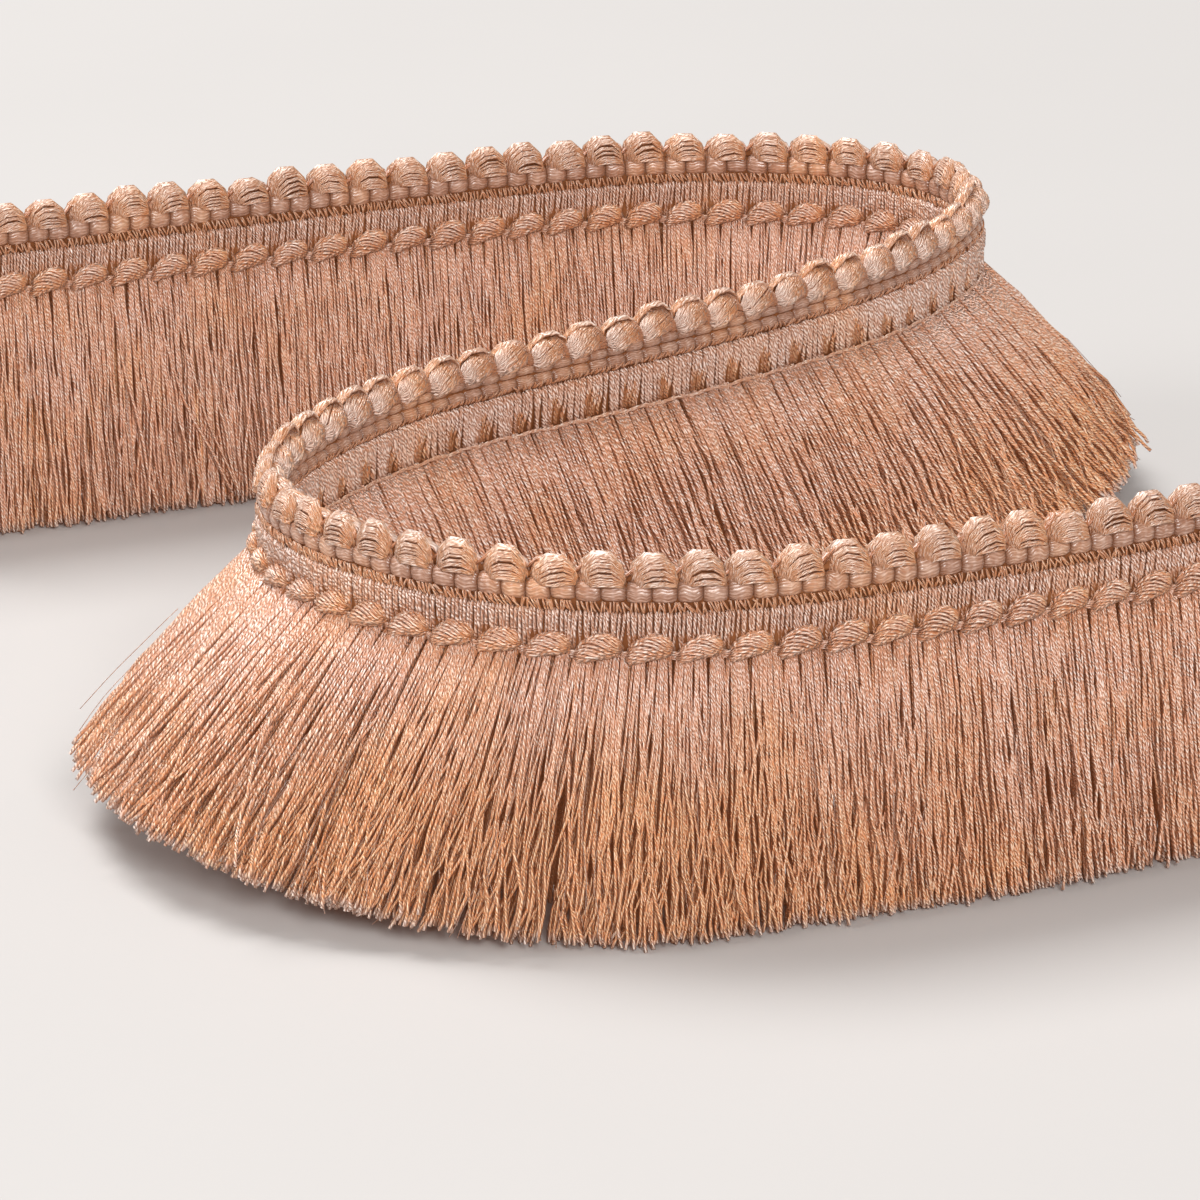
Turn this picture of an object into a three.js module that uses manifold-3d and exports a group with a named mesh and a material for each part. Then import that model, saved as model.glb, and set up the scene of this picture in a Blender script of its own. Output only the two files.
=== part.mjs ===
// A length of brush fringe trim that stands on its cut yarn ends, laid out in an S on a flat surface.
// Along the top runs an edge of twisted loops, under it a ribbed braid, a band of packed yarn,
// a row of crossed knots and then the brush fringe. The face with the knots is the front face.
// Units are millimetres and +Z is up. The origin is on the surface, in the middle of the layout.
import * as THREE from "three";
import { mergeVertices } from "three/addons/utils/BufferGeometryUtils.js";
import Module from "manifold-3d";

const wasm = await Module();
wasm.setup();

// Driving sizes
const REPEAT = 9.52; // one loop of the top edge, and one knot
const REPEATS = 83;
const LENGTH = REPEAT * REPEATS;
const FIT_GAP = 0.3; // between one piece and the next

// Heights above the surface of the pieces, from the top edge down
const LOOPS = { bottom: 67.2, height: 7.1, halfDepth: 3.3 };
const RIBS = { bottom: 63.0, top: LOOPS.bottom - FIT_GAP, halfDepth: 2.25, groove: 0.5, perRepeat: 2 };
const BAND = { bottom: 57.2, top: RIBS.bottom - FIT_GAP, halfDepth: 2.3 };
const KNOTS = { bottom: 53.1, top: BAND.bottom - FIT_GAP, front: 3.7, back: 2.1 };
const ROOT = { bottom: 50.4, top: KNOTS.bottom - FIT_GAP, halfDepth: 2.3, steps: 7 };

// The fringe: locks in two rows, one leaning to the front face and one to the back, in sections.
// A lock starts inside the root strip, is as wide as cover times two pitches, and grows deeper by
// flare down to its tip. Where its row fans out or in, it widens or narrows within widest and narrowest.
const FRINGE = { length: 53.6, sections: 16, locks: 18, rootHeight: 51.84, rest: 50.84, endMargin: 0.1 };
const LOCK = { depth: 4.0, flare: 1.2, cover: 0.92, widest: 1.7, narrowest: 0.3 };
const LOCK_PITCH = LENGTH / (FRINGE.sections * FRINGE.locks);

// How far the loops, knots and locks vary from one to the next
const UNEVEN = { loopHeight: 0.06, knotDepth: 0.04, lockLean: 1.5, lockLength: 0.006 };

// The route seen from above, from the cut end of the back pass to that of the front pass.
// Each stretch has a length and the angle it turns through, to the left if positive.
const START = { x: -153.1, y: 73.9, heading: 24.6 };
const BLEND = 30; // over which one stretch's curvature passes into the next
const STRETCHES = [
  { name: "back pass", length: 167.5, turn: -3.0 },
  { name: "right bend, opening", length: 65.8, turn: -38.2 },
  { name: "right bend", length: 57.7, turn: -91.1 },
  { name: "right bend, closing", length: 60.9, turn: -27.0 },
  { name: "middle pass", length: 85.9, turn: -9.3 },
  { name: "left bend, opening", length: 83.4, turn: 35.4 },
  { name: "left bend", length: 42.1, turn: 52.9 },
  { name: "left bend, closing", length: 109.3, turn: 76.7 },
  { name: "front pass", length: 117.6, turn: 13.3 },
];

// How the fringe splays along the route: the lean of each face's yarns in degrees from upright,
// and the share of their length by which they trail back along the route.
const SPLAY = [
  { at: 0, front: 6, back: 9, trail: 0 },
  { at: 150, front: 6, back: 11, trail: 0 },
  { at: 210, front: 15, back: 27, trail: 0 },
  { at: 262, front: 24, back: 41, trail: 0 },
  { at: 315, front: 17, back: 39, trail: 0.05 },
  { at: 375, front: 9, back: 27, trail: 0.12 },
  { at: 440, front: 11, back: 25, trail: 0.1 },
  { at: 495, front: 27, back: 23, trail: 0.03 },
  { at: 540, front: 42, back: 20, trail: 0.03 },
  { at: 575, front: 41, back: 15, trail: 0.14 },
  { at: 607, front: 31, back: 11, trail: 0.18 },
  { at: 635, front: 17, back: 9, trail: 0.07 },
  { at: 670, front: 9, back: 8, trail: 0 },
  { at: LENGTH, front: 8, back: 8, trail: 0 },
];

const COLOURS = { loops: 0xc99a78, ribs: 0xbf8a6a, band: 0xc49078, knots: 0xb98263, fringe: 0xc58d70 };
const YARN_ROUGHNESS = 0.5;

const rad = THREE.MathUtils.degToRad;
const smooth = (t) => THREE.MathUtils.smoothstep(t, 0, 1);

// A steady uneven value from -1 to 1 for the item with that number, other for each kind of item
const SCATTER = { item: 12.9898, kind: 78.233, scale: 43758.5453 };
function uneven(item, kind) {
  const wave = Math.sin(item * SCATTER.item + kind * SCATTER.kind) * SCATTER.scale;
  return 2 * (wave - Math.floor(wave)) - 1;
}

// The route's curvature at a distance along it, in radians a millimetre
function curvature(at) {
  let edge = 0;
  let value = 0;
  let before = 0;
  for (const stretch of STRETCHES) {
    const own = rad(stretch.turn) / stretch.length;
    value += (own - before) * (edge === 0 ? 1 : smooth((at - edge) / BLEND + 0.5));
    edge += stretch.length;
    before = own;
  }
  return value;
}

// Points of the route one millimetre apart
const ROUTE_STEP = 1;
const route = [{ x: START.x, y: START.y, heading: rad(START.heading) }];
for (let i = 0; i * ROUTE_STEP < LENGTH + ROUTE_STEP; i++) {
  const { x, y, heading } = route[i];
  const turn = curvature((i + 0.5) * ROUTE_STEP) * ROUTE_STEP;
  const middle = heading + turn / 2;
  route.push({
    x: x + Math.cos(middle) * ROUTE_STEP,
    y: y + Math.sin(middle) * ROUTE_STEP,
    heading: heading + turn,
  });
}

// The place beside the route: at along it, out towards the front face, and height above the surface
function beside(at, out, height) {
  const i = THREE.MathUtils.clamp(Math.floor(at / ROUTE_STEP), 0, route.length - 2);
  const t = at / ROUTE_STEP - i;
  const mix = (key) => THREE.MathUtils.lerp(route[i][key], route[i + 1][key], t);
  const heading = mix("heading");
  return new THREE.Vector3(mix("x") + out * Math.sin(heading), mix("y") - out * Math.cos(heading), height);
}

// The splay at a distance along the route
function splayAt(at) {
  const next = Math.max(1, SPLAY.findIndex((row) => row.at >= at));
  const a = SPLAY[next - 1];
  const b = SPLAY[next];
  const t = smooth((at - a.at) / (b.at - a.at));
  const mix = (key) => THREE.MathUtils.lerp(a[key], b[key], t);
  return { front: mix("front"), back: mix("back"), trail: mix("trail") };
}

// A closed body of rings: each row of a cylinder's points goes to the ring that place gives for it,
// and the middle of each end to the middle of its ring
function ringBody(sides, rows, place) {
  const geometry = new THREE.CylinderGeometry(1, 1, 1, sides, rows);
  const rings = Array.from({ length: rows + 1 }, (_, row) => place(row));
  const middleOf = (ring) => ring.reduce((sum, p) => sum.add(p), new THREE.Vector3()).divideScalar(sides);
  const middles = rings.map(middleOf);
  const position = geometry.getAttribute("position");
  const from = new THREE.Vector3();
  for (let i = 0; i < position.count; i++) {
    from.fromBufferAttribute(position, i);
    const row = Math.round((0.5 - from.y) * rows);
    const corner = (Math.round((Math.atan2(from.x, from.z) / (2 * Math.PI)) * sides) + sides) % sides;
    const to = Math.hypot(from.x, from.z) < 0.5 ? middles[row] : rings[row][corner];
    position.setXYZ(i, to.x, to.y, to.z);
  }
  return geometry;
}

// A strip along the route. section gives a ring's corners as [out, height], from the back face over
// the top to the front face and under the bottom. The rings are at the distances in places.
function strip(places, section) {
  const from = [...places].reverse();
  return ringBody(section(from[0]).length, from.length - 1, (row) =>
    section(from[row]).map(([out, height]) => beside(from[row], out, height)),
  );
}

// Distances along the route: the given shares of each repeat, and the far end
function placesPerRepeat(repeat, shares) {
  const starts = Array.from({ length: Math.round(LENGTH / repeat) }, (_, i) => i * repeat);
  return [...starts.flatMap((start) => shares.map((share) => start + share * repeat)), LENGTH];
}

// The number of the repeat that a distance lies in, and the row of a form table for its share there
function rowAt(at, table) {
  const item = Math.floor(at / REPEAT + 1e-6);
  const away = (row) => Math.abs(row.share - (at / REPEAT - item));
  return { item, form: table.reduce((a, b) => (away(b) < away(a) ? b : a)) };
}

// The top edge: fat loops that rise, bulge and tuck in again, as shares of the height and half depth
const LOOP_FORM = [
  { share: 0, height: 0.52, depth: 0.55 },
  { share: 0.34, height: 0.92, depth: 0.95 },
  { share: 0.7, height: 1, depth: 1 },
];
const LOOP_WAIST = 0.5; // where a loop is deepest, as a share of its height
const LOOP_SEAT = 0.55; // how deep its top is, and its foot on the braid, as a share of its depth
function loopSection(at) {
  const { item, form } = rowAt(at, LOOP_FORM);
  const shrink = form.share ? (UNEVEN.loopHeight * (1 + uneven(item, 1))) / 2 : 0;
  const height = LOOPS.height * form.height * (1 - shrink);
  const depth = LOOPS.halfDepth * form.depth;
  const low = LOOPS.bottom;
  return [
    [-depth, low + LOOP_WAIST * height],
    [-LOOP_SEAT * depth, low + height],
    [LOOP_SEAT * depth, low + height],
    [depth, low + LOOP_WAIST * height],
    [LOOP_SEAT * depth, low],
    [-LOOP_SEAT * depth, low],
  ];
}

// The ribbed braid: cells that stand proud on both faces, with a nick between one and the next
function ribSection(at) {
  const crest = Math.round((at / REPEAT) * RIBS.perRepeat * 2) % 2 === 1;
  return flatSection(RIBS, RIBS.halfDepth - (crest ? 0 : RIBS.groove));
}

// The square section of a flat band of the heading
function flatSection({ top, bottom, halfDepth }, half = halfDepth) {
  return [
    [-half, top],
    [half, top],
    [half, bottom],
    [-half, bottom],
  ];
}

// The knot row: slanting lumps on the front face and a near flat back. The lump's depth is a share
// of the knots' front depth, and its low and high edges are shares of their height.
const KNOT_FORM = [
  { share: 0, front: 0.55, low: 0, high: 0.8 },
  { share: 0.55, front: 1, low: 0.1, high: 1 },
];
function knotSection(at) {
  const { item, form } = rowAt(at, KNOT_FORM);
  const rise = KNOTS.top - KNOTS.bottom;
  const shrink = form.share ? UNEVEN.knotDepth * (1 + uneven(item, 2)) : 0;
  const front = KNOTS.front * form.front * (1 - shrink);
  return [
    [-KNOTS.back, KNOTS.top],
    [front / 2, KNOTS.bottom + rise * form.high],
    [front, KNOTS.bottom + (rise * (form.low + form.high)) / 2],
    [front / 2, KNOTS.bottom + rise * form.low],
    [-KNOTS.back, KNOTS.bottom],
  ];
}

// One lock of the fringe: three sides, flat to the outside, and a level tip. One that hangs down
// far enough stands on the surface. It stays between the ends low and high of its section.
function lock(number, low, high) {
  const side = number % 2 === 0 ? 1 : -1;
  const at = (number + 0.5) * LOCK_PITCH;
  const splay = splayAt(at);
  const lean = rad((side > 0 ? splay.front : splay.back) + UNEVEN.lockLean * uneven(number, 3));
  const half = LOCK_PITCH * LOCK.cover;
  const drop = FRINGE.length * Math.cos(lean) * (1 + UNEVEN.lockLength * uneven(number, 4));
  const tip = drop > FRINGE.rest ? 0 : FRINGE.rootHeight - drop;
  return ringBody(3, 1, (share) => {
    const out = side * FRINGE.length * share * Math.sin(lean);
    const back = splay.trail * FRINGE.length * share;
    const spread = THREE.MathUtils.clamp(1 + curvature(at) * out, LOCK.narrowest, LOCK.widest);
    const depth = (LOCK.depth / 2) * THREE.MathUtils.lerp(1, LOCK.flare, share);
    const left = Math.min(half, at - low) * spread;
    const right = Math.min(half, high - at) * spread;
    const height = THREE.MathUtils.lerp(FRINGE.rootHeight, tip, share);
    const corner = (along, away) => {
      const place = beside(at - back, out + side * away, height);
      const aside = beside(at - back + 1, out + side * away, height).sub(place).normalize();
      return place.addScaledVector(aside, along);
    };
    const ring = [corner(0, -depth), corner(-left, depth), corner(right, depth)];
    return side > 0 ? ring : [ring[0], ring[2], ring[1]];
  });
}

// A three.js geometry as a solid that can be joined, and such a solid as a geometry
function solidOf(geometry) {
  geometry.deleteAttribute("normal");
  geometry.deleteAttribute("uv");
  const merged = mergeVertices(geometry, 1e-4);
  const vertProperties = new Float32Array(merged.getAttribute("position").array);
  return new wasm.Manifold(
    new wasm.Mesh({ numProp: 3, vertProperties, triVerts: new Uint32Array(merged.index.array) }),
  );
}

function geometryOf(solid) {
  const mesh = solid.getMesh();
  const geometry = new THREE.BufferGeometry();
  geometry.setAttribute("position", new THREE.BufferAttribute(new Float32Array(mesh.vertProperties), 3));
  geometry.setIndex(new THREE.BufferAttribute(new Uint32Array(mesh.triVerts), 1));
  geometry.computeVertexNormals();
  return geometry;
}

// One section of the fringe: a narrow root strip with its locks grown into it
function fringeSection(section) {
  const span = LENGTH / FRINGE.sections;
  const low = section * span + FIT_GAP / 2;
  const high = (section + 1) * span - FIT_GAP / 2;
  const step = (high - low) / ROOT.steps;
  const places = Array.from({ length: ROOT.steps + 1 }, (_, i) => low + i * step);
  let solid = solidOf(strip(places, () => flatSection(ROOT)));
  for (let i = 0; i < FRINGE.locks; i++) {
    const number = section * FRINGE.locks + i;
    solid = solid.add(solidOf(lock(number, low + FRINGE.endMargin, high - FRINGE.endMargin)));
  }
  return geometryOf(solid);
}

function piece(name, geometry, color) {
  const material = new THREE.MeshStandardMaterial({ color, roughness: YARN_ROUGHNESS, metalness: 0 });
  const mesh = new THREE.Mesh(geometry, material);
  mesh.name = name;
  return mesh;
}

const loopPlaces = placesPerRepeat(REPEAT, LOOP_FORM.map((row) => row.share));
const ribPlaces = placesPerRepeat(REPEAT / RIBS.perRepeat, [0, 0.5]);
const bandPlaces = placesPerRepeat(REPEAT, [0]);
const knotPlaces = placesPerRepeat(REPEAT, KNOT_FORM.map((row) => row.share));

const trim = new THREE.Group();
trim.add(piece("loop_edge", strip(loopPlaces, loopSection), COLOURS.loops));
trim.add(piece("ribbed_braid", strip(ribPlaces, ribSection), COLOURS.ribs));
trim.add(piece("yarn_band", strip(bandPlaces, () => flatSection(BAND)), COLOURS.band));
trim.add(piece("knot_row", strip(knotPlaces, knotSection), COLOURS.knots));
for (let i = 0; i < FRINGE.sections; i++) {
  trim.add(piece(`fringe_${String(i + 1).padStart(2, "0")}`, fringeSection(i), COLOURS.fringe));
}

export default trim;
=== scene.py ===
"""Looks for a length of brush fringe trim that stands in an S on its cut yarn ends.

Every strand is modelled: the fringe's yarns, the band that they loop over, the crossed knots, the ribbed
braid and the twisted loops of the top edge. Shapes are worked out in millimetres beside the route of the
trim, at a distance along it, out towards its front face, and at a height above the surface.
"""
import math

import bpy
import numpy as np
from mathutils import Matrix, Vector


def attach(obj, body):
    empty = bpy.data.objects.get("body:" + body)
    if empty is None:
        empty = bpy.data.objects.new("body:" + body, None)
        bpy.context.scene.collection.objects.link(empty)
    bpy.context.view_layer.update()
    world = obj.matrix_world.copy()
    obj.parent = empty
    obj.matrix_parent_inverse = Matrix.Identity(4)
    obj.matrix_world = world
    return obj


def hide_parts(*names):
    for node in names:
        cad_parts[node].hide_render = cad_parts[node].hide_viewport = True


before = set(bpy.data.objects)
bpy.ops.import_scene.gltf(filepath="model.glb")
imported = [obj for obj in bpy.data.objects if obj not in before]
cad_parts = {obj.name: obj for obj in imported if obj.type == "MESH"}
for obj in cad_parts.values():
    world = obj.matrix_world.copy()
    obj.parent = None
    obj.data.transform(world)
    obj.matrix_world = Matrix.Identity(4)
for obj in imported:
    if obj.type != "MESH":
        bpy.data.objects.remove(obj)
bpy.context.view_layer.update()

MM = 0.001
UP = np.array((0.0, 0.0, 1.0))

# The route seen from above, as in the solids: each stretch has a length and the degrees it turns through
REPEAT = 9.52
REPEATS = 83
LENGTH = REPEAT * REPEATS
START_X, START_Y, START_HEADING = -153.1, 73.9, 24.6
BLEND = 30.0
STRETCHES = (
    (167.5, -3.0),  # back pass
    (65.8, -38.2),  # right bend, opening
    (57.7, -91.1),  # right bend
    (60.9, -27.0),  # right bend, closing
    (85.9, -9.3),  # middle pass
    (83.4, 35.4),  # left bend, opening
    (42.1, 52.9),  # left bend
    (109.3, 76.7),  # left bend, closing
    (117.6, 13.3),  # front pass
)

# How the fringe splays: distance along the route, lean of the front and back yarns in degrees,
# and the share of their length by which they trail back along the route
SPLAY = np.array(
    (
        (0, 6, 9, 0),
        (150, 6, 11, 0),
        (210, 15, 27, 0),
        (262, 24, 41, 0),
        (315, 17, 39, 0.05),
        (375, 9, 27, 0.12),
        (440, 11, 25, 0.1),
        (495, 27, 23, 0.03),
        (540, 42, 20, 0.03),
        (575, 41, 15, 0.14),
        (607, 31, 11, 0.18),
        (635, 17, 9, 0.07),
        (670, 9, 8, 0),
        (LENGTH, 8, 8, 0),
    ),
    float,
)

# Heights of the rows, from the top edge down
FRONT_LOOP_FOOT, BACK_LOOP_MIDDLE = 67.7, 68.7
RIB_TOP, RIB_BOTTOM = 68.7, 64.2
BAND_TOP = 62.7
FRINGE_ROOT = 54.6
KNOT_HEIGHT, CORD_HEIGHT = 53.6, 53.2

# The fringe
SECTIONS = 16
YARN_LENGTH = 53.6
ROOT_HEIGHT = 51.84
REST_DROP = 50.84
ROOT_HALF_DEPTH = 2.2
YARN_RADIUS = 0.4


def smooth(t):
    t = np.clip(t, 0, 1)
    return t * t * (3 - 2 * t)


def bell(x, middle, width):
    """1 at the middle, falling away evenly on both sides of it."""
    return np.exp(-(((x - middle) / width) ** 2))


def lay_route():
    """Distances, places and headings of the route's points, a millimetre apart."""
    lengths = np.array([row[0] for row in STRETCHES])
    own = np.radians([row[1] for row in STRETCHES]) / lengths
    edges = np.cumsum(lengths)
    s = np.arange(int(LENGTH) + 2) + 0.5
    bend = np.full(len(s), own[0])
    for i in range(1, len(own)):
        bend += (own[i] - own[i - 1]) * smooth((s - edges[i - 1]) / BLEND + 0.5)
    heading = math.radians(START_HEADING) + np.concatenate([[0], np.cumsum(bend)])
    middle = (heading[1:] + heading[:-1]) / 2
    x = START_X + np.concatenate([[0], np.cumsum(np.cos(middle))])
    y = START_Y + np.concatenate([[0], np.cumsum(np.sin(middle))])
    return np.arange(len(x)), x, y, heading


ROUTE_S, ROUTE_X, ROUTE_Y, ROUTE_HEADING = lay_route()


def beside(s, out, z):
    """Places beside the route, as an array with a last axis of x, y and z in millimetres."""
    s = np.clip(s, 0, LENGTH)
    heading = np.interp(s, ROUTE_S, ROUTE_HEADING)
    x = np.interp(s, ROUTE_S, ROUTE_X) + out * np.sin(heading)
    y = np.interp(s, ROUTE_S, ROUTE_Y) - out * np.cos(heading)
    return np.stack(np.broadcast_arrays(x, y, z), axis=-1)


def outward(s):
    """The direction from the route towards the front face."""
    heading = np.interp(s, ROUTE_S, ROUTE_HEADING)
    return np.stack([np.sin(heading), -np.cos(heading), np.zeros_like(heading)], axis=-1)


def splay_at(s):
    """Lean of the front and of the back yarns in radians, and the trail, at distances along the route."""
    row = np.clip(np.searchsorted(SPLAY[:, 0], s), 1, len(SPLAY) - 1)
    low, high = SPLAY[row - 1], SPLAY[row]
    t = smooth((s - low[:, 0]) / (high[:, 0] - low[:, 0]))[:, None]
    mixed = low + (high - low) * t
    return np.radians(mixed[:, 1]), np.radians(mixed[:, 2]), mixed[:, 3]


def unit(v):
    return v / np.maximum(np.linalg.norm(v, axis=-1, keepdims=True), 1e-9)


def tones(rng, count, middle, spread):
    """One random value between 0 and 1 for each strand, from which its material takes its colour."""
    return np.clip(middle + spread * rng.normal(0, 1, count), 0, 1)


class Strands:
    """Collects tubes, and makes one mesh of them."""

    def __init__(self):
        self.points, self.faces, self.sizes = [], [], []
        self.uvs, self.tones, self.shades, self.orange_shades = [], [], [], []
        self.count = 0

    def add(self, paths, radius, sides, tone, shade=1.0, aim=None, flat=1.0, turn=0.0, warm=0.0):
        """Adds tubes along paths (strand, sample, xyz). radius is one or (strand, sample). aim is the
        direction of the first side. flat is the radius across aim as a share of that along it.
        tone is one random value for a strand; shade is painted shade below 1 and painted highlight above 1
        along it, and warm is painted orange shade along it."""
        n, m, _ = paths.shape
        radius, shade, warm = (np.broadcast_to(np.asarray(v, float), (n, m)) for v in (radius, shade, warm))
        aim = UP if aim is None else aim
        along = unit(np.gradient(paths, axis=1))
        first = unit(aim - (along * aim).sum(-1, keepdims=True) * along)
        second = np.cross(along, first)
        angle = 2 * np.pi * np.arange(sides) / sides + turn
        ring = (
            np.cos(angle)[:, None] * first[:, :, None, :]
            + flat * np.sin(angle)[:, None] * second[:, :, None, :]
        )
        points = paths[:, :, None, :] + radius[:, :, None, None] * ring
        self.points.append(points.reshape(-1, 3))

        index = self.count + np.arange(n * m * sides).reshape(n, m, sides)
        nxt = np.roll(index, -1, axis=2)
        walls = np.stack([index[:, :-1], nxt[:, :-1], nxt[:, 1:], index[:, 1:]], axis=-1)
        self.faces.append(walls.reshape(-1))
        self.sizes.append(np.full(n * (m - 1) * sides, 4))
        step = np.linalg.norm(np.diff(paths, axis=1), axis=-1)
        run = np.concatenate([np.zeros((n, 1)), np.cumsum(step, axis=1)], axis=1)
        u0 = np.broadcast_to(np.arange(sides) / sides, (n, m - 1, sides))
        u1 = u0 + 1 / sides
        v0 = np.broadcast_to(run[:, :-1, None], u0.shape)
        v1 = np.broadcast_to(run[:, 1:, None], u0.shape)
        corners = np.stack([u0, v0, u1, v0, u1, v1, u0, v1], axis=-1)
        self.uvs.append(corners.reshape(-1, 2))

        for ends, at in ((index[:, 0, ::-1], run[:, 0]), (index[:, -1], run[:, -1])):
            self.faces.append(ends.reshape(-1))
            self.sizes.append(np.full(n, sides))
            cap = np.stack([np.zeros((n, sides)), np.broadcast_to(at[:, None], (n, sides))], axis=-1)
            self.uvs.append(cap.reshape(-1, 2))

        self.tones.append(np.repeat(np.broadcast_to(tone, (n,)), m * sides))
        self.shades.append(np.repeat(shade.reshape(-1), sides))
        self.orange_shades.append(np.repeat(warm.reshape(-1), sides))
        self.count += n * m * sides

    def build(self, name, material, slot, nodes=()):
        """Makes the piece, which rides on the trim and stands for the named nodes."""
        mesh = bpy.data.meshes.new(name)
        points = np.concatenate(self.points) * MM
        faces = np.concatenate(self.faces)
        sizes = np.concatenate(self.sizes)
        mesh.vertices.add(len(points))
        mesh.vertices.foreach_set("co", points.astype(np.float32).ravel())
        mesh.loops.add(len(faces))
        mesh.loops.foreach_set("vertex_index", faces.astype(np.int32))
        mesh.polygons.add(len(sizes))
        mesh.polygons.foreach_set("loop_start", (np.cumsum(sizes) - sizes).astype(np.int32))
        mesh.polygons.foreach_set("loop_total", sizes.astype(np.int32))
        mesh.polygons.foreach_set("use_smooth", np.ones(len(sizes), bool))
        layer = mesh.uv_layers.new(name="strand")
        layer.data.foreach_set("uv", np.concatenate(self.uvs).astype(np.float32).ravel())
        for label, values in (("tone", self.tones), ("shade", self.shades), ("warm", self.orange_shades)):
            attribute = mesh.attributes.new(label, "FLOAT", "POINT")
            attribute.data.foreach_set("value", np.concatenate(values).astype(np.float32))
        mesh.update(calc_edges=True)
        mesh.validate()
        mesh.materials.append(material)
        piece = bpy.data.objects.new(name, mesh)
        bpy.context.scene.collection.objects.link(piece)
        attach(piece, "root")
        if nodes:
            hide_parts(*nodes)


# Materials

PALE = (0.91, 0.62, 0.50)
ROSE = (0.78, 0.40, 0.26)
# warmer colours of the yarns' own patches, also used for painted orange shade
ORANGE = (0.80, 0.31, 0.11)
AMBER = (0.94, 0.53, 0.26)
# the colour of painted shade
SHADE_BROWN = (0.42, 0.15, 0.06)
# the colours of painted highlights
GLINT = (1.0, 0.88, 0.81)
WARM_GLINT = (0.99, 0.72, 0.48)
GLOW = (0.050, 0.018, 0.007)
SHEEN = (1.0, 0.88, 0.8)
FLOOR_DARK, FLOOR_LIGHT = (0.508, 0.492, 0.482), (0.528, 0.511, 0.501)


class Nodes:
    """A few short ways to wire a material's nodes."""

    def __init__(self, material):
        material.use_nodes = True
        self.tree = material.node_tree
        self.shader = self.tree.nodes["Principled BSDF"]

    def new(self, kind, **inputs):
        node = self.tree.nodes.new(kind)
        for name, value in inputs.items():
            self.put(node.inputs[name.replace("_", " ")], value)
        return node

    def put(self, socket, value):
        if isinstance(value, bpy.types.NodeSocket):
            self.tree.links.new(value, socket)
        else:
            socket.default_value = value

    def math(self, operation, *values, clamp=False):
        node = self.tree.nodes.new("ShaderNodeMath")
        node.operation = operation
        node.use_clamp = clamp
        for socket, value in zip(node.inputs, values):
            self.put(socket, value)
        return node.outputs[0]

    def mix(self, share, a, b):
        node = self.tree.nodes.new("ShaderNodeMix")
        node.data_type = "RGBA"
        self.put(node.inputs["Factor"], share)
        self.put(node.inputs["A"], a)
        self.put(node.inputs["B"], b)
        return node.outputs["Result"]

    def noise(self, place, scale=1.0, detail=0.0):
        node = self.new("ShaderNodeTexNoise", Vector=place, Scale=scale, Detail=detail)
        return node.outputs["Fac"]

    def at(self, x, y, z):
        return self.new("ShaderNodeCombineXYZ", X=x, Y=y, Z=z).outputs[0]

    def attribute(self, name):
        node = self.tree.nodes.new("ShaderNodeAttribute")
        node.attribute_name = name
        return node.outputs["Fac"]


def rgba(colour):
    return (*colour, 1.0)


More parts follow.
